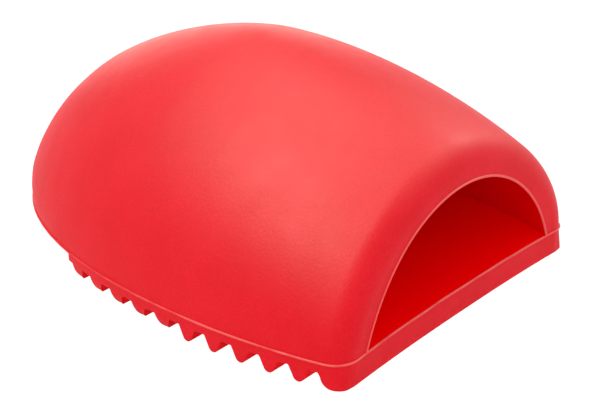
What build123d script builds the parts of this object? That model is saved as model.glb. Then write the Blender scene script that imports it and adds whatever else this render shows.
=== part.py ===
from build123d import *
from math import atan, ceil, cos, pi, sin
import os

# Rubber curry brush: a hollow finger hood shaped like half an egg, bonded to a ridged scrubbing pad.
# Millimetres, +Z up. The mouth faces -Y and the closed tip faces +Y. The origin is on the ground under
# the middle of the brush. A distance is measured back from the mouth face, along +Y.

# Whole brush
LENGTH = 74.0
HALF_WIDTH = 28.0
FRONT_HALF_WIDTH = 25.4
WIDEST_AT = 21.5
ROUNDING_REACH = 2.9
PAD_HEIGHT = 3.4
DOME_HEIGHT = 28.2
DOME_FRONT_HEIGHT = 18.8
CROWN_AT = 35.3

# Finger pocket inside the hood
POCKET_DEPTH = 70.0
POCKET_HALF_WIDTH = 24.8
MOUTH_HALF_WIDTH = 20.5
POCKET_HEIGHT = 24.8
MOUTH_HEIGHT = 14.7

# Bead along the bond between the hood and the pad
BEAD_HEIGHT = 0.3
BEAD_PROUD = 0.2
BEAD_DEPTH = 1.2

# Front bar, ridges and nubs under the pad
RIDGE_HEIGHT = 2.0
RIDGE_BASE = 2.75
RIDGE_TIP_RADIUS = 0.7
ROOT_RADIUS = 0.3
RIDGE_PITCH = 4.13
PITCH_GROWTH = 0.035
FIRST_RIDGE_AT = 6.15
RIDGE_COUNT = 10
BAR_LENGTH = 3.5
BAR_HEEL_RADIUS = 1.6
NUB_PITCH = 4.25
FIRST_NUBS_AT = 51.2
NUB_ROW_COUNT = 5
NUB_EDGE_GAP = 4.4

# The far ridges end inside the outline: where from, and the inset of their ends at each height
ROUNDED_ENDS_FROM = 25.4
ROUNDED_ENDS = [(0.0, 1.6), (0.4, 0.75), (RIDGE_HEIGHT, 0.0)]

# Beyond the last ridge the pad's side is undercut: where from, and its inset at each height
UNDERCUT_FROM = 48.6
UNDERCUT = [(RIDGE_HEIGHT, 2.5), (3.2, 0.0)]

# Curve exponents: 2 makes an ellipse, and a lower one a slimmer curve
SECTION_EXPONENT = 1.8
PLAN_EXPONENT = 2.2
CROWN_EXPONENT = 1.56

MOUTH_Y = -LENGTH / 2
TIP_Y = LENGTH / 2
ROUNDING_STEPS = 5
STATION_COUNT = 12
LAST_STATION = 0.97
SECTION_POINTS = 17
OUTLINE_POINTS = 49


def swell(distance, length, widest_at, front, widest, exponent):
    """Half-width or height of an egg curve at a distance back from its flat front."""
    if distance < widest_at:
        return widest - (widest - front) * (1 - distance / widest_at) ** 2
    along = (distance - widest_at) / (length - widest_at)
    return widest * (1 - along**exponent) ** 0.5


def rounded_swell(distance, length, widest_at, front, widest, exponent, reach):
    """The same egg curve with its front edge rounded, tangent to the front and to the curve at `reach`."""
    if distance >= reach:
        return swell(distance, length, widest_at, front, widest, exponent)
    lean = atan(2 * (widest - front) / widest_at * (1 - reach / widest_at))
    radius = reach / (1 - sin(lean))
    centre = swell(reach, length, widest_at, front, widest, exponent) - radius * cos(lean)
    return centre + (radius**2 - (radius - distance) ** 2) ** 0.5


def stations(length, reach):
    """Distance of each cross section, through the front rounding and on to the tip."""
    places = [0]
    if reach:
        for step in range(1, ROUNDING_STEPS + 1):
            places.append(reach * (1 - cos(pi / 2 * step / ROUNDING_STEPS)))
    start = reach / length
    for step in range(1, STATION_COUNT + 1):
        share = start + (LAST_STATION - start) * step / STATION_COUNT
        places.append(length * sin(share * pi / 2))
    return places


def dome_arch(half_width, height):
    """Outer arch as a curve of x and height: steep feet and a slightly pointed crown."""
    power = 2 / SECTION_EXPONENT
    points = []
    for step in range(SECTION_POINTS):
        angle = pi * step / (SECTION_POINTS - 1)
        side = 1 if cos(angle) > 0 else -1
        points.append((side * half_width * abs(cos(angle)) ** power, height * sin(angle) ** power))
    return Spline(points, tangents=[(0, 1), (0, -1)], tangent_scalars=(1, 1))


def pocket_arch(half_width, height):
    """Inner arch as a curve of x and height: part of a circle, so a wide one has leaning feet."""
    return ThreePointArc((half_width, 0), (0, height), (-half_width, 0))


def half_egg(length, half_width, front_half_width, height, front_height, reach, arch):
    """Solid half egg with a flat front and a flat base on the plane of the bond."""
    sections = []
    for distance in stations(length, reach):
        wide = rounded_swell(
            distance, length, WIDEST_AT, front_half_width, half_width, PLAN_EXPONENT, reach
        )
        high = rounded_swell(distance, length, CROWN_AT, front_height, height, CROWN_EXPONENT, reach)
        curve = arch(wide, high)
        upright = Plane((0, MOUTH_Y + distance, PAD_HEIGHT), x_dir=(1, 0, 0), z_dir=(0, -1, 0))
        sections.append(upright * make_face(Wire([curve, Line(curve @ 1, curve @ 0)])))
    tip = Vertex(0, MOUTH_Y + length, PAD_HEIGHT)
    return loft(sections + [tip])


def plan_half_width(distance):
    """Half-width of the brush, seen from above."""
    return rounded_swell(
        distance, LENGTH, WIDEST_AT, FRONT_HALF_WIDTH, HALF_WIDTH, PLAN_EXPONENT, ROUNDING_REACH
    )


def outline_face(z, grow=0.0):
    """Outline of the brush seen from above, at a height, grown outwards all round."""
    right = []
    for distance in stations(LENGTH, ROUNDING_REACH):
        right.append(Vector(plan_half_width(distance), MOUTH_Y + distance, z))
    left = [Vector(-point.X, point.Y, z) for point in right]
    points = right + [Vector(0, TIP_Y, z)] + left[::-1]
    side = Spline(points, tangents=[(1, 0, 0), (1, 0, 0)], tangent_scalars=(1, 1))
    if grow:
        grown = []
        for step in range(OUTLINE_POINTS):
            share = step / (OUTLINE_POINTS - 1)
            heading = side % share
            grown.append(side @ share + grow * Vector(heading.Y, -heading.X, 0))
        side = Spline(grown, tangents=[(1, 0, 0), (1, 0, 0)], tangent_scalars=(1, 1))
    return make_face(Wire([side, Line(side @ 1, side @ 0)]))


def ridge_place(number):
    """Distance of a ridge: the pitch grows a little towards the tip."""
    return FIRST_RIDGE_AT + number * RIDGE_PITCH + number**2 * PITCH_GROWTH


def ridge_profile(at):
    """Cross section of one ridge: straight flanks that run into a round tip."""
    tip = Pos(at, RIDGE_TIP_RADIUS) * Edge.make_circle(RIDGE_TIP_RADIUS)
    root = Line((at - RIDGE_BASE / 2, RIDGE_HEIGHT), (at + RIDGE_BASE / 2, RIDGE_HEIGHT))
    return make_hull([tip, root])


def bar_profile():
    """Cross section of the front bar: flat front, round heel."""
    heel = Pos(MOUTH_Y + BAR_HEEL_RADIUS, BAR_HEEL_RADIUS) * Edge.make_circle(BAR_HEEL_RADIUS)
    root = Line((MOUTH_Y, RIDGE_HEIGHT), (MOUTH_Y + BAR_LENGTH, RIDGE_HEIGHT))
    front = Line((MOUTH_Y, 0), (MOUTH_Y, RIDGE_HEIGHT))
    return make_hull([heel, root, front])


def pad_profile():
    """Side view of the pad: the floor, the front bar and the ridges."""
    band = PAD_HEIGHT - RIDGE_HEIGHT
    profile = Pos(0, RIDGE_HEIGHT + band / 2) * Rectangle(LENGTH, band)
    profile += bar_profile()
    for number in range(RIDGE_COUNT):
        profile += ridge_profile(MOUTH_Y + ridge_place(number))
    inside = LENGTH / 2 - ROOT_RADIUS
    roots = [
        corner
        for corner in profile.vertices()
        if abs(corner.Y - RIDGE_HEIGHT) < ROOT_RADIUS / 10 and abs(corner.X) < inside
    ]
    return fillet(roots, ROOT_RADIUS)


def nub_places():
    """Centres of the round nubs: rows that carry on from the ridges towards the tip."""
    places = []
    for row in range(NUB_ROW_COUNT):
        distance = FIRST_NUBS_AT + row * NUB_PITCH
        reach = plan_half_width(distance) - NUB_EDGE_GAP
        gaps = max(ceil(2 * reach / NUB_PITCH - 0.5), 1)
        for number in range(gaps + 1):
            places.append((reach * (2 * number / gaps - 1), MOUTH_Y + distance))
    return places


def nub():
    """Round nub with the same side view as a ridge."""
    half = ridge_profile(0) & Pos(RIDGE_BASE, 0) * Rectangle(2 * RIDGE_BASE, 4 * RIDGE_HEIGHT)
    return revolve(Plane.XZ * half, Axis.Z)


def free_space(start, end, profile):
    """Space left free outside one length of the pad, from a profile of heights and insets."""
    low, high = profile[0][0], profile[-1][0]
    block = Pos(0, MOUTH_Y + (start + end) / 2, (low + high) / 2) * Box(2 * LENGTH, end - start, high - low)
    return block - loft([outline_face(height, -inset) for height, inset in profile], ruled=True)


def seam_bead():
    """Thin ring of rubber that stands a little proud of the bond."""
    low = PAD_HEIGHT - BEAD_HEIGHT / 2
    ring = outline_face(low, BEAD_PROUD) - outline_face(low, -BEAD_DEPTH)
    return extrude(ring, amount=BEAD_HEIGHT, dir=(0, 0, 1))


def finger_hood(bead):
    """Hollow dome with a D-shaped mouth, open onto the pad."""
    outside = half_egg(
        LENGTH, HALF_WIDTH, FRONT_HALF_WIDTH, DOME_HEIGHT, DOME_FRONT_HEIGHT, ROUNDING_REACH, dome_arch
    )
    pocket = half_egg(
        POCKET_DEPTH, POCKET_HALF_WIDTH, MOUTH_HALF_WIDTH, POCKET_HEIGHT, MOUTH_HEIGHT, 0, pocket_arch
    )
    return outside - bead - pocket


def scrub_pad(bead):
    """Floor of the pocket with the front bar, ridges and nubs in one moulding."""
    strip = extrude(Plane.YZ * pad_profile(), amount=HALF_WIDTH, both=True)
    pad = strip & extrude(outline_face(0), amount=PAD_HEIGHT, dir=(0, 0, 1))
    pad += [Pos(x, y, 0) * nub() for x, y in nub_places()]
    pad -= free_space(ROUNDED_ENDS_FROM, UNDERCUT_FROM, ROUNDED_ENDS)
    pad -= free_space(UNDERCUT_FROM, 2 * LENGTH, UNDERCUT)
    return pad - bead


bead = seam_bead()
nodes = {"finger_hood": finger_hood(bead), "seam_bead": bead, "scrub_pad": scrub_pad(bead)}

os.makedirs("parts", exist_ok=True)
for name, shape in nodes.items():
    export_step(shape, f"parts/{name}.step")
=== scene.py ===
"""Looks for the rubber curry brush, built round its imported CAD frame. Lengths are in metres."""

from math import atan, cos, pi, radians, sin

import bmesh
import bpy
import numpy as np
from mathutils import Matrix, Vector, noise


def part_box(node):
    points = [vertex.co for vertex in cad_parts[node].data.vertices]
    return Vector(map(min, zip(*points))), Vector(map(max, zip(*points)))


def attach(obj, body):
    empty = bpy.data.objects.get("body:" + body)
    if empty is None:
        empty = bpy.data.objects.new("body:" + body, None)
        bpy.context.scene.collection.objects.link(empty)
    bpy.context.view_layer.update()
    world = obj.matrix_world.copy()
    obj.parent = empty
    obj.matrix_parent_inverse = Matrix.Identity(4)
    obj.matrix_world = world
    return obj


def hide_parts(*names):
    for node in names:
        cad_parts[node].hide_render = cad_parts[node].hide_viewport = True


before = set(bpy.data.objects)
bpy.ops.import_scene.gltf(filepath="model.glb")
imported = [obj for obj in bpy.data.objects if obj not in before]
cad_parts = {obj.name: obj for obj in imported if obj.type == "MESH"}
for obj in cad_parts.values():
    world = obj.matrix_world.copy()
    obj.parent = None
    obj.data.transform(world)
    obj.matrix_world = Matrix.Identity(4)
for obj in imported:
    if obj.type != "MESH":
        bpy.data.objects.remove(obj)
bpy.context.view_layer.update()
PAD_LOW, PAD_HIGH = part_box("scrub_pad")
HOOD_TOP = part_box("finger_hood")[1].z
BEAD_LOW, BEAD_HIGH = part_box("seam_bead")

MM = 0.001

# From the frame
MOUTH_Y = PAD_LOW.y
LENGTH = PAD_HIGH.y - PAD_LOW.y
HALF_WIDTH = PAD_HIGH.x
GROUND = PAD_LOW.z
BOND_Z = PAD_HIGH.z
DOME_HEIGHT = HOOD_TOP - BOND_Z
BEAD_HEIGHT = BEAD_HIGH.z - BEAD_LOW.z
BEAD_PROUD = BEAD_HIGH.y - PAD_HIGH.y

# Egg curves: half-widths and heights at the mouth face, and the exponents of the curves behind it
FRONT_HALF_WIDTH = 25.4 * MM
DOME_FRONT_HEIGHT = 18.8 * MM
WIDEST_AT = 21.5 * MM
CROWN_AT = 35.3 * MM
ROUNDING_REACH = 2.9 * MM
PLAN_EXPONENT = 2.2
CROWN_EXPONENT = 1.56
SECTION_EXPONENT = 1.8

# Finger pocket
POCKET_DEPTH = 70.0 * MM
POCKET_HALF_WIDTH = 24.8 * MM
POCKET_HEIGHT = 24.8 * MM
MOUTH_HALF_WIDTH = 20.5 * MM
MOUTH_HEIGHT = 14.7 * MM
LIP_WIDTH = 0.36 * MM
LIP_PROUD = 0.16 * MM

# Ridges and nubs
RIDGE_HEIGHT = 2.0 * MM
RIDGE_BASE = 2.75 * MM
RIDGE_TIP_RADIUS = 0.7 * MM
RIDGE_PITCH = 4.13 * MM
PITCH_GROWTH = 0.035 * MM
FIRST_RIDGE_AT = 6.15 * MM
RIDGE_COUNT = 10
BAR_LENGTH = 3.5 * MM
BAR_HEEL_RADIUS = 1.6 * MM
NUB_PITCH = 4.25 * MM
FIRST_NUBS_AT = 51.2 * MM
NUB_ROW_COUNT = 5
NUB_EDGE_GAP = 4.4 * MM
ROOT_BLEND = 0.22 * MM
EDGE_RADIUS = 0.10 * MM

# Ends of the far ridges, rounded under, and the undercut beyond the last of them
ROUNDED_ENDS_FROM = 25.4 * MM
ROUNDED_END_INSET = 1.5 * MM
UNDERCUT_FROM = 48.6 * MM
UNDERCUT_INSET = 2.5 * MM
UNDERCUT_TOP = 3.2 * MM

# The front face is set back in the middle: at the ground, at the floor and higher up
BOW_HEIGHTS = (0, 3.4 * MM, 8.0 * MM)
BOW_DEPTHS = (0.68 * MM, 1.0 * MM, 0.84 * MM)
BOW_REACH = 10.0 * MM
BOW_EXPONENT = 2.4

# The bar's two corners are squarer at the ground than the brush is at the bond
CORNER_FILL = 0.5 * MM
CORNER_FILL_REACH = 3.4 * MM
CORNER_FACE_REACH = 0.5 * MM
DIAGONAL = 0.7

# The far end, drawn in along the bond and fuller above it: where the change starts, how far outwards it
# moves the surface at each height above the bond, how it grows towards the tip, and its least radius
FULL_FROM = 40.0 * MM
FULL_HEIGHTS = (0, 2.0 * MM, 4.0 * MM, 6.0 * MM, 9.0 * MM, 12.0 * MM, 16.0 * MM, 20.0 * MM, 25.0 * MM)
FULL_OUTWARD = (-0.3 * MM, 0.1 * MM, 0.3 * MM, 0.2 * MM, 0.05 * MM, 0, 0, 0.3 * MM, 0)
FULL_GROWTH = 1.5
FULL_LEAST_RADIUS = 4.0 * MM

# Unevenness of the bead: the size of the bumps, their depth and a seed
BEAD_SWELLING = (2.2 * MM, 0.35, 11.3)
BEAD_FINE_SWELLING = (0.8 * MM, 0.2, 5.1)
BEAD_DRIFT = (3.5 * MM, 0.05 * MM, 3.7)
# Patches in the bead's painted highlight: their size, their depth and a seed
BEAD_HIGHLIGHT_PATCHES = (2.6 * MM, 0.8, 7.9)
BEAD_FINE_HIGHLIGHT_PATCHES = (0.9 * MM, 0.4, 2.3)

# The bead's section: the part of its height that stays even, and its hidden side in radii from its middle
BEAD_EVEN_SHARE = 0.8
BEAD_HIDDEN_SIDE = [(-2.2, -0.3), (-8, -0.3), (-8, -1)]

# The bead's painted highlight fades between these distances from the mouth, down to its faintest
BEAD_FADE_FROM = 20 * MM
BEAD_FADE_TO = 45 * MM
BEAD_FAINTEST = 0.35

# How finely each stretch is divided
ARCH_COLUMNS = 150
ARCH_CLUSTER = 0.6
EGG_ROWS = 110
LIP_ROWS = 8
RIM_ROWS = 6
ROUNDING_ROWS = 15
CORNER_POINTS = 15
SIDE_POINTS = 161
FRONT_POINTS = 81
BEAD_ROUND_POINTS = 11
ARC_POINTS = 16
TOE_POINTS = 8
EDGE_STEPS = 5
WALL_LEVELS = 12
RIDGE_COLUMNS = 30
NUB_COLUMNS = 230
PAD_CORNER_ROWS = 26
RIDGE_ROW_STEP = 0.11 * MM
NUB_ROW_STEP = 0.2 * MM
TIP_REACH = 1.2 * MM
TIP_ROWS = 14
MERGE_DISTANCE = 0.002 * MM
SHARP_ANGLE = radians(40)
FLATTEST_ARCH = 1e-7

# Each point carries a tone: -1 deep inside the pocket, where a purer red, no shine and a glow are painted
# light bounced around inside, 0 on plain skin, 1 on the pale edges, which are painted highlights
TONE = "tone"
POCKET_TONE_FROM = 0.12 * MM
FLOOR_EDGE = 0.07 * MM
# Share of the pocket's painted bounced light and glow given to the underside between its edges
UNDERSIDE_TONE = -0.55

# Underside: where the round heel of the bar ends, a height that the roof always cuts off, the greatest
# share of a row's half-width that its edge round takes, and where the rows of nubs start
HEEL_TOP_ANGLE = radians(-8)
ABOVE_ROOF = RIDGE_HEIGHT * 1.5
WIDEST_EDGE_SHARE = 0.3
NUBS_FROM = UNDERCUT_FROM


def swell(distance, length, widest_at, front, widest, exponent):
    """Half-width or height of an egg curve at distances back from its flat front."""
    distance = np.asarray(distance, float)
    near = widest - (widest - front) * (1 - distance / widest_at) ** 2
    along = np.clip((distance - widest_at) / (length - widest_at), 0, 1)
    far = widest * np.sqrt(1 - along**exponent)
    return np.where(distance < widest_at, near, far)


def rounded_swell(distance, length, widest_at, front, widest, exponent):
    """The same egg curve with its front edge rounded, tangent to the front and to the curve."""
    reach = ROUNDING_REACH
    lean = atan(2 * (widest - front) / widest_at * (1 - reach / widest_at))
    radius = reach / (1 - sin(lean))
    centre = float(swell(reach, length, widest_at, front, widest, exponent)) - radius * cos(lean)
    near = np.minimum(np.asarray(distance, float), reach)
    arc = centre + np.sqrt(radius**2 - (radius - near) ** 2)
    return np.where(
        np.asarray(distance) < reach, arc, swell(distance, length, widest_at, front, widest, exponent)
    )


def plan_half_width(distance):
    """Half-width of the brush from above."""
    return rounded_swell(distance, LENGTH, WIDEST_AT, FRONT_HALF_WIDTH, HALF_WIDTH, PLAN_EXPONENT)


def bow_front(points):
    """Sets the middle of the front face back a little, as the soft mouth does."""
    across = np.clip(1 - np.abs(points[..., 0] / FRONT_HALF_WIDTH) ** BOW_EXPONENT, 0, 1)
    fade = np.clip(1 - (points[..., 1] - MOUTH_Y) / BOW_REACH, 0, 1) ** 2
    points[..., 1] += np.interp(points[..., 2] - GROUND, BOW_HEIGHTS, BOW_DEPTHS) * across * fade
    return points


def fill_corners(points):
    """Fills out the front bar's corners towards the ground."""
    x, y = points[..., 0], points[..., 1] - MOUTH_Y
    away = np.hypot(np.abs(x) - FRONT_HALF_WIDTH, y)
    near = np.clip(1 - away / CORNER_FILL_REACH, 0, 1)
    low = np.clip(1 - (points[..., 2] - GROUND) / (BOND_Z - GROUND), 0, 1)
    push = CORNER_FILL * near * (3 - 2 * near) * near * low
    points[..., 0] += np.sign(x) * push * DIAGONAL
    points[..., 1] -= push * DIAGONAL * np.clip(y / CORNER_FACE_REACH, 0, 1)
    return points


def fill_far_end(points):
    """Draws the far end in along the bond and makes the dome above it fuller."""
    moved = points.copy()
    out = np.interp(points[..., 2] - BOND_Z, FULL_HEIGHTS, FULL_OUTWARD)
    back = np.maximum(points[..., 1] - MOUTH_Y - FULL_FROM, 0)
    out *= np.clip(back / (LENGTH - FULL_FROM), 0, 1) ** FULL_GROWTH
    reach = np.maximum(np.hypot(points[..., 0], back), FULL_LEAST_RADIUS)
    moved[..., 0] += out * points[..., 0] / reach
    moved[..., 1] += out * back / reach
    return moved


def shape_pad(points):
    """All three changes to the plain outline, for the pad."""
    return fill_far_end(bow_front(fill_corners(points)))


def smooth_noise(points, size, depth, seed):
    """Repeatable noise, from -depth to depth, over an array of points."""
    flat = points.reshape(-1, 3) / size + seed
    values = [noise.noise(Vector(place)) for place in flat]
    return depth * np.array(values).reshape(points.shape[:-1])


class MeshMaker:
    """Collects points and faces for one mesh."""

    def __init__(self):
        self.points = []
        self.tones = []
        self.faces = []

    def add(self, grid, tone=0.0):
        """Adds an array of points with their tones and returns their numbers in the same layout."""
        grid = np.asarray(grid, float)
        first = len(self.points)
        self.points.extend(grid.reshape(-1, 3).tolist())
        self.tones.extend(np.broadcast_to(tone, grid.shape[:-1]).ravel().tolist())
        return np.arange(first, len(self.points)).reshape(grid.shape[:-1])

    def skin(self, numbers):
        """Faces between neighbouring rows and columns of a grid of point numbers."""
        a, b = numbers[:-1, :-1].ravel(), numbers[:-1, 1:].ravel()
        c, d = numbers[1:, 1:].ravel(), numbers[1:, :-1].ravel()
        self.faces.extend(np.stack([a, b, c, d], axis=1).tolist())

    def finish(self, name):
        """Merges points that meet, drops collapsed faces and returns the object."""
        mesh = bpy.data.meshes.new(name)
        clean = []
        for face in self.faces:
            kept = [n for i, n in enumerate(face) if n != face[i - 1]]
            if len(kept) > 2:
                clean.append(kept)
        mesh.from_pydata(self.points, [], clean)
        mesh.attributes.new(TONE, "FLOAT", "POINT").data.foreach_set("value", self.tones)
        piece = bpy.data.objects.new(name, mesh)
        bpy.context.scene.collection.objects.link(piece)
        work = bmesh.new()
        work.from_mesh(mesh)
        bmesh.ops.remove_doubles(work, verts=work.verts, dist=MERGE_DISTANCE)
        bmesh.ops.recalc_face_normals(work, faces=work.faces)
        work.to_mesh(mesh)
        work.free()
        mesh.shade_smooth()
        mesh.set_sharp_from_angle(angle=SHARP_ANGLE)
        return piece


def arch_shares():
    """Places across an arch from 0 to 1, closer together towards its two feet."""
    share = np.linspace(0, 1, ARCH_COLUMNS + 1)
    return share - ARCH_CLUSTER * np.sin(2 * pi * share) / (2 * pi)


def upright(distance, x, height):
    """Points of an arch whose feet stand on the bond plane."""
    height[[0, -1]] = 0
    y = np.full_like(x, MOUTH_Y + distance)
    return np.stack([x, y, BOND_Z + height], axis=-1)


def dome_arch(distance):
    """One arch of the outer dome: steep feet and a slightly pointed crown."""
    wide = float(plan_half_width(distance))
    high = rounded_swell(distance, LENGTH, CROWN_AT, DOME_FRONT_HEIGHT, DOME_HEIGHT, CROWN_EXPONENT)
    turn = pi * arch_shares()
    power = 2 / SECTION_EXPONENT
    x = np.sign(np.cos(turn)) * wide * np.abs(np.cos(turn)) ** power
    return upright(distance, x, float(high) * np.abs(np.sin(turn)) ** power)


def pocket_arch(distance, wide, high):
    """One arch of the pocket: part of a circle, so a wide one has leaning feet."""
    wide, high = float(wide), max(float(high), FLATTEST_ARCH)
    radius = (wide**2 + high**2) / (2 * high)
    drop = radius - high
    foot = np.arctan2(drop, wide)
    turn = foot + (pi - 2 * foot) * arch_shares()
    return upright(distance, radius * np.cos(turn), radius * np.sin(turn) - drop)


def pocket_rows():
    """Arches along the inside of the hood, from its closed end to the mouth, one more than EGG_ROWS."""
    rows = []
    distances = POCKET_DEPTH * np.sin(np.linspace(1, 0, EGG_ROWS) * pi / 2)
    for distance in np.insert(distances, -1, POCKET_TONE_FROM):
        wide = swell(distance, POCKET_DEPTH, WIDEST_AT, MOUTH_HALF_WIDTH, POCKET_HALF_WIDTH, PLAN_EXPONENT)
        high = swell(distance, POCKET_DEPTH, CROWN_AT, MOUTH_HEIGHT, POCKET_HEIGHT, CROWN_EXPONENT)
        rows.append(pocket_arch(distance, wide, high))
    return rows


def lip_rows():
    """Arches over the thin round lip that edges the mouth."""
    rows = []
    for step in range(1, LIP_ROWS + 1):
        turn = pi * step / LIP_ROWS
        out = LIP_WIDTH * (1 - cos(turn)) / 2
        rows.append(pocket_arch(-LIP_PROUD * sin(turn), MOUTH_HALF_WIDTH + out, MOUTH_HEIGHT + out))
    return rows


def outer_rows():
    """Arches over the flat rim, the front rounding and the dome, to the closed tip."""
    first = pocket_arch(0, MOUTH_HALF_WIDTH + LIP_WIDTH, MOUTH_HEIGHT + LIP_WIDTH)
    last = dome_arch(0)
    rows = [first + (last - first) * share for share in np.linspace(0, 1, RIM_ROWS + 1)[1:-1]]
    for turn in np.linspace(0, pi / 2, ROUNDING_ROWS)[:-1]:
        rows.append(dome_arch(ROUNDING_REACH * (1 - cos(turn))))
    start = 2 / pi * np.arcsin(ROUNDING_REACH / LENGTH)
    for share in np.linspace(start, 1, EGG_ROWS + 1):
        rows.append(dome_arch(LENGTH * sin(share * pi / 2)))
    return rows


def build_hood():
    """Closed shell of the hood: pocket, lip, rim, dome and the faces that stand on the pad."""
    grid = np.array(pocket_rows() + lip_rows() + outer_rows())
    outside = EGG_ROWS + LIP_ROWS
    grid[outside:] = fill_far_end(grid[outside:])
    tone = np.zeros(len(grid))
    # Pocket rows get the deep tone of painted bounced light and glow, the lip rows the pale tone of a
    # painted highlight
    tone[:EGG_ROWS] = -1
    tone[EGG_ROWS:outside] = 1
    maker = MeshMaker()
    numbers = maker.add(bow_front(grid), tone[:, None])
    maker.skin(numbers)
    last = len(numbers) - 1
    for side in (0, -1):
        foot = numbers[:, side]
        inner = foot[: EGG_ROWS + 1]
        outer = foot[last - EGG_ROWS :][::-1]
        maker.skin(np.stack([inner, outer], axis=1))
        maker.faces.append(foot[EGG_ROWS : last - EGG_ROWS + 1].tolist())
    return maker.finish("finger_hood_skin")


def outline_loop():
    """The brush's outline from above as a closed loop of x and y, corner rounding included."""
    corner = ROUNDING_REACH * (1 - np.cos(np.linspace(0, pi / 2, CORNER_POINTS)[:-1]))
    start = 2 / pi * np.arcsin(ROUNDING_REACH / LENGTH)
    side = LENGTH * np.sin(np.linspace(start, 1, SIDE_POINTS)[:-1] * pi / 2)
    distances = np.concatenate([corner, side])
    right = np.column_stack([plan_half_width(distances), distances])
    left = right[::-1] * (-1, 1)
    reach = right[0, 0]
    across = np.linspace(-reach, reach, FRONT_POINTS)[1:-1]
    front = np.column_stack([across, 0 * across])
    loop = np.concatenate([right, [(0, LENGTH)], left, front])
    loop[:, 1] += MOUTH_Y
    return loop


def build_bead():
    """Thin ring of rubber along the bond, slightly uneven as squeezed rubber is."""
    loop = outline_loop()
    heading = np.roll(loop, -1, axis=0) - np.roll(loop, 1, axis=0)
    heading /= np.linalg.norm(heading, axis=1)[:, None]
    outward = np.stack([heading[:, 1], -heading[:, 0]], axis=1)
    spots = np.column_stack([loop, np.zeros(len(loop))])
    swelling = 1 + smooth_noise(spots, *BEAD_SWELLING) + smooth_noise(spots, *BEAD_FINE_SWELLING)
    drift = smooth_noise(spots, *BEAD_DRIFT)
    turns = np.linspace(-pi / 2, pi / 2, BEAD_ROUND_POINTS)
    round_part = [(cos(turn), sin(turn)) for turn in turns]
    radius = BEAD_HEIGHT / 2
    centre = BEAD_PROUD - radius
    middle = (BEAD_LOW.z + BEAD_HIGH.z) / 2
    rings = []
    for along, up in round_part + BEAD_HIDDEN_SIDE:
        offset = centre + radius * along * (swelling if along > 0 else 1)
        z = middle + drift + radius * up * (BEAD_EVEN_SHARE + (1 - BEAD_EVEN_SHARE) * swelling)
        rings.append(np.column_stack([loop + outward * np.reshape(offset, (-1, 1)), z]))
    rings.append(rings[0])
    grid = np.array(rings)
    grid = np.concatenate([grid, grid[:, :1]], axis=1)
    # The bead's pale tone is a painted highlight along the seam, patchy and fading away from the mouth
    highlight_patches = smooth_noise(spots, *BEAD_HIGHLIGHT_PATCHES) + smooth_noise(spots, *BEAD_FINE_HIGHLIGHT_PATCHES)
    fade = (BEAD_FADE_TO - loop[:, 1] + MOUTH_Y) / (BEAD_FADE_TO - BEAD_FADE_FROM)
    tone = np.clip((1 + highlight_patches) * np.clip(fade, BEAD_FAINTEST, 1), 0, 1)
    tone = np.append(tone, tone[0])
    maker = MeshMaker()
    maker.skin(maker.add(fill_far_end(bow_front(grid)), tone))
    return maker.finish("seam_bead_skin")


def ridge_curve():
    """Height of a ridge's underside at distances from its middle, as two matching lists."""
    half, top = RIDGE_BASE / 2, RIDGE_HEIGHT
    reach = np.hypot(half, top - RIDGE_TIP_RADIUS)
    turn = np.arctan2(top - RIDGE_TIP_RADIUS, half) - np.arccos(RIDGE_TIP_RADIUS / reach)
    swing = np.linspace(-pi / 2, turn, ARC_POINTS)
    away = RIDGE_TIP_RADIUS * np.cos(swing)
    height = RIDGE_TIP_RADIUS * (1 + np.sin(swing))
    return np.append(away, half), np.append(height, top)


def bar_curve():
    """Height of the front bar's underside at distances from the mouth face."""
    swing = np.linspace(-pi / 2, HEEL_TOP_ANGLE, ARC_POINTS)
    away = BAR_HEEL_RADIUS * (1 + np.cos(swing))
    height = BAR_HEEL_RADIUS * (1 + np.sin(swing))
    toe = np.linspace(0, pi / 2, TOE_POINTS)
    toe_away = EDGE_RADIUS * (1 - np.cos(toe))
    toe_height = EDGE_RADIUS * (1 - np.sin(toe))
    return (
        np.concatenate([toe_away, away, [BAR_LENGTH]]),
        np.concatenate([toe_height, height, [RIDGE_HEIGHT]]),
    )


def ridge_place(number):
    """Distance of a ridge: the pitch grows a little towards the tip."""
    return FIRST_RIDGE_AT + number * RIDGE_PITCH + number**2 * PITCH_GROWTH


def nub_places():
    """Centres of the round nubs: rows that carry on from the ridges towards the tip."""
    places = []
    for row in range(NUB_ROW_COUNT):
        distance = FIRST_NUBS_AT + row * NUB_PITCH
        reach = float(plan_half_width(distance)) - NUB_EDGE_GAP
        gaps = max(int(np.ceil(2 * reach / NUB_PITCH - 0.5)), 1)
        for number in range(gaps + 1):
            places.append((reach * (2 * number / gaps - 1), distance))
    return places


RIDGE_CURVE = ridge_curve()
BAR_CURVE = bar_curve()
NUBS = np.array(nub_places())


def soft_roof(height):
    """Blends a height into the flat roof between the ridges, with a small root radius."""
    gap = np.clip(ROOT_BLEND - np.abs(height - RIDGE_HEIGHT), 0, None) / ROOT_BLEND
    return np.minimum(height, RIDGE_HEIGHT) - gap**2 * ROOT_BLEND / 4


def flank(away):
    """Height of a ridge or nub at distances from its middle, with its flank carried on past the roof."""
    slope = (RIDGE_HEIGHT - RIDGE_CURVE[1][-2]) / (RIDGE_BASE / 2 - RIDGE_CURVE[0][-2])
    return np.interp(away, *RIDGE_CURVE) + slope * np.clip(away - RIDGE_BASE / 2, 0, None)


def underside(x, distance):
    """Height of the pad's underside above the ground, at places across one row."""
    height = np.full(x.shape, np.interp(distance, *BAR_CURVE, right=ABOVE_ROOF))
    for number in range(RIDGE_COUNT):
        height = np.minimum(height, flank(abs(distance - ridge_place(number))))
    for place in NUBS:
        height = np.minimum(height, flank(np.hypot(x - place[0], distance - place[1])))
    return soft_roof(height)


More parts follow.
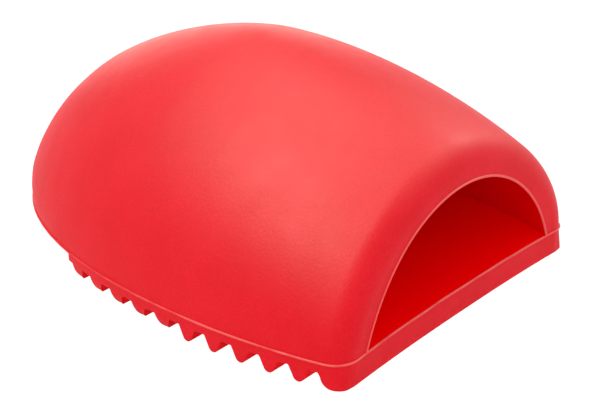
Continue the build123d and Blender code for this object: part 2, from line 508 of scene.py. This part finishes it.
def side_inset(height, distance):
    """How far in from the outline, measured sideways, the pad's side stands at a height."""
    if distance >= UNDERCUT_FROM:
        slope = (UNDERCUT_TOP - height) / (UNDERCUT_TOP - RIDGE_HEIGHT)
        return UNDERCUT_INSET * np.clip(slope, 0, 1)
    if distance >= ROUNDED_ENDS_FROM:
        drop = np.clip(1 - height / RIDGE_HEIGHT, 0, 1)
        return ROUNDED_END_INSET * (1 - np.sqrt(1 - drop**2))
    return 0 * height


def pad_distances():
    """Distances back from the mouth of the pad's rows, finer where its shape turns."""
    corner = ROUNDING_REACH * (1 - np.cos(np.linspace(0, pi / 2, PAD_CORNER_ROWS)))
    ridges = np.arange(ROUNDING_REACH, NUBS_FROM, RIDGE_ROW_STEP)
    nubs = np.arange(NUBS_FROM, LENGTH - TIP_REACH, NUB_ROW_STEP)
    tip = LENGTH - TIP_REACH * (1 - np.linspace(0, 1, TIP_ROWS)) ** 2
    return np.unique(np.concatenate([corner, ridges, nubs, tip]).round(8))


def underside_row(distance, columns):
    """Points across the underside at one distance, with a small round at each end."""
    wall = float(plan_half_width(distance))
    side_height = float(underside(np.array([wall]), distance)[0])
    radius = min(EDGE_RADIUS, WIDEST_EDGE_SHARE * wall)
    reach = wall - float(side_inset(side_height + radius, distance))
    inner = np.linspace(-(reach - radius), reach - radius, columns)
    z = underside(inner, distance)
    swing = np.linspace(0, pi / 2, EDGE_STEPS + 1)[1:]
    edge_x = reach - radius + radius * np.sin(swing)
    edge_z = side_height + radius * (1 - np.cos(swing))
    x = np.concatenate([-edge_x[::-1], inner, edge_x])
    z = np.concatenate([edge_z[::-1], z, edge_z])
    return np.stack([x, np.full_like(x, MOUTH_Y + distance), z], axis=-1)


def wall_column(foot, distance, side):
    """Points up the pad's side wall from the end of an underside row to the bond."""
    wall = float(plan_half_width(distance))
    z = np.linspace(foot[2], BOND_Z, WALL_LEVELS)
    x = side * (wall - side_inset(z, distance))
    return np.stack([x, np.full_like(x, MOUTH_Y + distance), z], axis=-1)


def stitch(maker, near, far, near_x, far_x):
    """Triangles between two rows that have different numbers of points."""
    i = j = 0
    while i < len(near) - 1 or j < len(far) - 1:
        step_near = i < len(near) - 1 and (j == len(far) - 1 or near_x[i + 1] <= far_x[j + 1])
        if step_near:
            maker.faces.append([int(near[i]), int(near[i + 1]), int(far[j])])
            i += 1
        else:
            maker.faces.append([int(near[i]), int(far[j + 1]), int(far[j])])
            j += 1


def underside_tone(columns):
    """Tone across the underside: a deeper red between its two edges, with part of the pocket's painted glow,
    standing in for light that reaches under the pad.
    """
    edge = np.zeros(EDGE_STEPS)
    return np.concatenate([edge, np.full(columns, UNDERSIDE_TONE), edge])


def floor_row(distance):
    """Points across the pocket floor at one distance, on the bond plane."""
    wall = float(plan_half_width(distance))
    x = np.linspace(-wall, wall, RIDGE_COLUMNS + 2 * EDGE_STEPS)
    return np.stack([x, np.full_like(x, MOUTH_Y + distance), np.full_like(x, BOND_Z)], axis=-1)


def build_pad():
    """Pad: pocket floor, side wall, front face, bar, ridges and nubs, with a small gap at its far tip."""
    maker = MeshMaker()
    distances = pad_distances()
    split = int(np.argmax(distances >= NUBS_FROM))
    rows = [underside_row(distance, RIDGE_COLUMNS) for distance in distances[:split]]
    rows += [underside_row(distance, NUB_COLUMNS) for distance in distances[split:]]
    tops = [floor_row(distance) for distance in distances]
    ridged = maker.add(shape_pad(np.array(rows[:split])), underside_tone(RIDGE_COLUMNS))
    nubbed = maker.add(shape_pad(np.array(rows[split:])), underside_tone(NUB_COLUMNS))
    maker.skin(ridged)
    maker.skin(nubbed)
    stitch(maker, ridged[-1], nubbed[0], rows[split - 1][:, 0], rows[split][:, 0])
    for side, end in ((-1, 0), (1, -1)):
        wall = [wall_column(row[end], distance, side) for row, distance in zip(rows, distances)]
        maker.skin(maker.add(shape_pad(np.array(wall))))
    # A thin strip at the floor's front edge gets the pale tone of a painted highlight, the rest the pocket's
    # painted bounced light and glow
    floor_tone = np.where(distances < FLOOR_EDGE, 1, -1)[:, None]
    maker.skin(maker.add(shape_pad(np.array(tops)), floor_tone))
    share = np.linspace(0, 1, WALL_LEVELS)[:, None, None]
    front = rows[0][None] * (1 - share) + tops[0][None] * share
    maker.skin(maker.add(shape_pad(front)))
    return maker.finish("scrub_pad_skin")


# Rubber finish, as linear colours
RED = (0.86, 0.006, 0.019)
DEEP_RED = (0.81, 0.003, 0.012)
PALE_RED = (0.88, 0.022, 0.036)
GRAIN_RED = (0.62, 0.003, 0.012)
# Pale red of the painted highlights on the mouth's lip, the floor's front edge and the bead
EDGE_HIGHLIGHT_RED = (0.95, 0.14, 0.13)
# Pocket red: a purer, brighter red that paints the light bounced around inside the pocket
POCKET_RED = (0.97, 0.0004, 0.0015)
SPECULAR = 0.15
SHEEN = 0.03

# Painted glow, an emission standing in for light that comes in at the mouth and bounces around the pocket
# and under the pad: how far in it fades, and the share that is left there
PAINTED_GLOW_REACH = 26 * MM
PAINTED_GLOW_DEEP = 0.1

# Surface patterns: the size of each, and the noise range that is used with what it's mapped to
MOTTLE_SIZE = 9 * MM
MOTTLE_RANGE = (0.35, 0.65)
BLOOM_SIZE = 1.1 * MM
BLOOM_RANGE = (0.5, 0.8, 0, 0.25)
DUST_SIZE = 0.24 * MM
DUST_RANGE = (0.42, 0.62, 0, 0.35)
SPECK_SIZE = 0.9 * MM
SPECK_RANGE = (0.76, 0.80, 0, 0.6)
# Tone range that mixes in the painted edge highlight
PALE_EDGE_RANGE = (0.2, 1, 0, 0.8)
SATIN_SIZE = 3 * MM
SATIN_RANGE = (0.3, 0.7, 0.47, 0.53)
WAVE_SIZE = 4 * MM
WAVE_DEPTH = 0.02 * MM
WAVE_STRENGTH = 0.5
GRAIN_STRENGTH = 0.8

# Each piece's grain, as size and depth, and the strength of its painted glow
HOOD_GRAIN = (0.35 * MM, 0.035 * MM)
BEAD_GRAIN = (0.3 * MM, 0.01 * MM)
PAD_GRAIN = (0.3 * MM, 0.015 * MM)
HOOD_PAINTED_GLOW = 0.018
PAD_PAINTED_GLOW = 0.13

# What all the rubber has in common
RUBBER_SETTINGS = {
    "Subsurface Weight": 0.12,
    "Subsurface Scale": 1.2 * MM,
    "Subsurface Radius": (1.0, 0.18, 0.12),
    "IOR": 1.43,
    # Red of the painted glow
    "Emission Color": (1, 0, 0, 1),
    "Sheen Roughness": 0.45,
    "Sheen Tint": (1, 0.85, 0.85, 1),
}


class Nodes:
    """Short names for building a node material."""

    def __init__(self, name):
        self.material = bpy.data.materials.new(name)
        self.material.use_nodes = True
        self.tree = self.material.node_tree
        self.shader = self.tree.nodes["Principled BSDF"]
        self.place = self.tree.nodes.new("ShaderNodeTexCoord").outputs["Object"]

    def link(self, source, target):
        """Joins an output to an input."""
        self.tree.links.new(source, target)

    def noise(self, size, detail=2.0, roughness=0.5):
        """Noise with features of about `size` metres."""
        node = self.tree.nodes.new("ShaderNodeTexNoise")
        node.inputs["Scale"].default_value = 1 / size
        node.inputs["Detail"].default_value = detail
        node.inputs["Roughness"].default_value = roughness
        self.link(self.place, node.inputs["Vector"])
        return node.outputs["Fac"]

    def along_y(self):
        """How far along +Y a point is."""
        node = self.tree.nodes.new("ShaderNodeSeparateXYZ")
        self.link(self.place, node.inputs["Vector"])
        return node.outputs["Y"]

    def times(self, first, second):
        """Two numbers multiplied."""
        node = self.tree.nodes.new("ShaderNodeMath")
        node.operation = "MULTIPLY"
        self.link(first, node.inputs[0])
        self.link(second, node.inputs[1])
        return node.outputs["Value"]

    def attribute(self, name):
        """A number stored on the mesh's points."""
        node = self.tree.nodes.new("ShaderNodeAttribute")
        node.attribute_name = name
        return node.outputs["Fac"]

    def spread(self, value, low, high, to_low=0.0, to_high=1.0):
        """Maps a value's range onto another, clamped."""
        node = self.tree.nodes.new("ShaderNodeMapRange")
        for name, number in (("From Min", low), ("From Max", high), ("To Min", to_low), ("To Max", to_high)):
            node.inputs[name].default_value = number
        self.link(value, node.inputs["Value"])
        return node.outputs["Result"]

    def mix(self, factor, first, second):
        """Mixes two colours, each a socket or a linear colour."""
        node = self.tree.nodes.new("ShaderNodeMix")
        node.data_type = "RGBA"
        self.link(factor, node.inputs["Factor"])
        for socket, colour in ((node.inputs[6], first), (node.inputs[7], second)):
            if isinstance(colour, tuple):
                socket.default_value = (*colour, 1)
            else:
                self.link(colour, socket)
        return node.outputs[2]

    def bump(self, height, depth, strength, under=None):
        """Bumps of a depth in metres, laid over others if there are any."""
        node = self.tree.nodes.new("ShaderNodeBump")
        node.inputs["Strength"].default_value = strength
        node.inputs["Distance"].default_value = depth
        self.link(height, node.inputs["Height"])
        if under is not None:
            self.link(under, node.inputs["Normal"])
        return node.outputs["Normal"]


def rubber(name, base, shade, pale, grain, painted_glow=0.0):
    """Matte silicone rubber with soft mottling, fine grain and faint specks; pale or deep by tone: pale
    painted highlights, or a purer red without shine and with a painted glow for light bounced inside.
    """
    nodes = Nodes(name)
    shader = nodes.shader.inputs
    mottle = nodes.spread(nodes.noise(MOTTLE_SIZE, detail=3), *MOTTLE_RANGE)
    colour = nodes.mix(mottle, base, shade)
    bloom = nodes.spread(nodes.noise(BLOOM_SIZE, detail=4, roughness=0.6), *BLOOM_RANGE)
    colour = nodes.mix(bloom, colour, pale)
    dust = nodes.spread(nodes.noise(DUST_SIZE, detail=2, roughness=0.7), *DUST_RANGE)
    colour = nodes.mix(dust, colour, GRAIN_RED)
    speck = nodes.spread(nodes.noise(SPECK_SIZE, detail=1), *SPECK_RANGE)
    colour = nodes.mix(speck, colour, DEEP_RED)
    tone = nodes.attribute(TONE)
    # Tone below 0 paints the pocket's bounced light: the purer pocket red, no shine or sheen, and a glow
    # fading in from the mouth
    inner = nodes.spread(tone, 0, -1)
    colour = nodes.mix(inner, colour, POCKET_RED)
    # Painted highlight where the tone is above 0
    colour = nodes.mix(nodes.spread(tone, *PALE_EDGE_RANGE), colour, EDGE_HIGHLIGHT_RED)
    nodes.link(colour, shader["Base Color"])
    nodes.link(nodes.spread(inner, 0, 1, SPECULAR, 0), shader["Specular IOR Level"])
    nodes.link(nodes.spread(inner, 0, 1, SHEEN, 0), shader["Sheen Weight"])
    # Painted glow: emission where the tone is below 0, strongest at the mouth
    fade = nodes.spread(nodes.along_y(), MOUTH_Y, MOUTH_Y + PAINTED_GLOW_REACH, painted_glow, PAINTED_GLOW_DEEP * painted_glow)
    nodes.link(nodes.times(inner, fade), shader["Emission Strength"])
    nodes.link(nodes.spread(nodes.noise(SATIN_SIZE, detail=3), *SATIN_RANGE), shader["Roughness"])
    wave = nodes.bump(nodes.noise(WAVE_SIZE, detail=2), WAVE_DEPTH, WAVE_STRENGTH)
    grain_size, grain_depth = grain
    fine = nodes.noise(grain_size, detail=3, roughness=0.6)
    normal = nodes.bump(fine, grain_depth, GRAIN_STRENGTH, wave)
    nodes.link(normal, shader["Normal"])
    for key, value in RUBBER_SETTINGS.items():
        shader[key].default_value = value
    return nodes.material


def dress(piece, material, node):
    """Gives a piece its material and lets it stand for its CAD node."""
    piece.data.materials.append(material)
    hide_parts(node)
    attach(piece, "root")


hood = build_hood()
bead = build_bead()
pad = build_pad()
hood_rubber = rubber("hood_rubber", RED, DEEP_RED, PALE_RED, HOOD_GRAIN, HOOD_PAINTED_GLOW)
# The bead's paler base red is part of its painted highlight
bead_rubber = rubber("bead_rubber", PALE_RED, RED, PALE_RED, BEAD_GRAIN)
pad_rubber = rubber("pad_rubber", RED, DEEP_RED, PALE_RED, PAD_GRAIN, PAD_PAINTED_GLOW)
dress(hood, hood_rubber, "finger_hood")
dress(bead, bead_rubber, "seam_bead")
dress(pad, pad_rubber, "scrub_pad")


# Camera
CAMERA_AZIMUTH = radians(-50.31)
CAMERA_ELEVATION = radians(24.93)
CAMERA_ROLL = radians(-0.34)
CAMERA_DISTANCE = 214.9 * MM
AIM_FROM_MOUTH = 28.57 * MM
AIM_HEIGHT = 7.14 * MM
LENS = 94.2
SENSOR = 36.0
NEAREST_SEEN = 10 * MM


def place_camera():
    """Camera at the angle, distance and roll given above, aimed at a point inside the brush."""
    across = cos(CAMERA_ELEVATION)
    back = Vector((sin(CAMERA_AZIMUTH) * across, -cos(CAMERA_AZIMUTH) * across, sin(CAMERA_ELEVATION)))
    aim = Vector((0, MOUTH_Y + AIM_FROM_MOUTH, GROUND + AIM_HEIGHT))
    data = bpy.data.cameras.new("camera")
    data.lens = LENS
    data.sensor_width = SENSOR
    data.clip_start = NEAREST_SEEN
    camera = bpy.data.objects.new("camera", data)
    bpy.context.scene.collection.objects.link(camera)
    turn = back.to_track_quat("Z", "Y").to_matrix() @ Matrix.Rotation(CAMERA_ROLL, 3, "Z")
    camera.matrix_world = Matrix.Translation(aim + back * CAMERA_DISTANCE) @ turn.to_4x4()
    bpy.context.scene.camera = camera


# Studio: strengths of the even light and of the white backdrop, and the shine lamps' warm white
ROOM_LIGHT = 0.85
BACKDROP = 1.1
SHINE_COLOUR = (1.0, 1.03, 0.86)

# Lamps: place, size, power, and whether it lights the surface or only shines in its reflections
LAMPS = {
    "key": ((-0.22, 0.06, 0.36), (0.28, 0.28), 0.28, "light"),
    "top": ((0.05, 0.10, 0.45), (0.40, 0.40), 0.25, "light"),
    "top_shine": ((0, 0.05, 0.50), (0.50, 0.50), 8.0, "shine"),
    "back_shine": ((0.40, 0.45, 0.12), (0.40, 0.24), 1.1, "shine"),
    "right_shine": ((0.45, -0.15, 0.35), (0.35, 0.35), 4.2, "shine"),
    "crown_shine": ((-0.28, 0.10, 0.42), (0.25, 0.25), 5.6, "shine"),
}
LAMP_AIM = Vector((0, 0, 0.012))

# Table: its half-width, how far below the brush it lies, and its finish
TABLE_REACH = 1.0
TABLE_GAP = 5 * MM
TABLE_COLOUR = (0.8, 0.8, 0.8, 1)
TABLE_ROUGHNESS = 0.9


def area_light(name, place, size, power, kind):
    """Rectangular lamp aimed at the brush."""
    data = bpy.data.lights.new(name, "AREA")
    data.shape = "RECTANGLE"
    data.size, data.size_y = size
    data.energy = power
    light = bpy.data.objects.new(name, data)
    bpy.context.scene.collection.objects.link(light)
    light.location = place
    light.rotation_euler = (Vector(place) - LAMP_AIM).to_track_quat("Z", "Y").to_euler()
    light.visible_diffuse = kind == "light"
    light.visible_glossy = kind == "shine"
    if kind == "shine":
        data.color = SHINE_COLOUR


def build_world():
    """White behind the object and even soft light all round."""
    world = bpy.data.worlds.new("studio")
    world.use_nodes = True
    tree = world.node_tree
    background = tree.nodes["Background"]
    rays = tree.nodes.new("ShaderNodeLightPath")
    seen = tree.nodes.new("ShaderNodeMix")
    seen.inputs[2].default_value = ROOM_LIGHT
    seen.inputs[3].default_value = BACKDROP
    tree.links.new(rays.outputs["Is Camera Ray"], seen.inputs[0])
    tree.links.new(seen.outputs[0], background.inputs["Strength"])
    background.inputs["Color"].default_value = (1, 1, 1, 1)
    bpy.context.scene.world = world


def build_table():
    """Pale table that shades the underside but stays out of the picture."""
    mesh = bpy.data.meshes.new("studio_floor")
    turns = ((-1, -1), (1, -1), (1, 1), (-1, 1))
    corners = [(x * TABLE_REACH, y * TABLE_REACH, GROUND - TABLE_GAP) for x, y in turns]
    mesh.from_pydata(corners, [], [(0, 1, 2, 3)])
    floor = bpy.data.objects.new("studio_floor", mesh)
    bpy.context.scene.collection.objects.link(floor)
    floor.visible_camera = False
    material = bpy.data.materials.new("floor_white")
    material.use_nodes = True
    shader = material.node_tree.nodes["Principled BSDF"]
    shader.inputs["Base Color"].default_value = TABLE_COLOUR
    shader.inputs["Roughness"].default_value = TABLE_ROUGHNESS
    mesh.materials.append(material)


def build_stage():
    """Table, even light and lamps of the studio."""
    build_table()
    build_world()
    for name, lamp in LAMPS.items():
        area_light(name, *lamp)
    bpy.context.scene.view_settings.view_transform = "Standard"


place_camera()
build_stage()
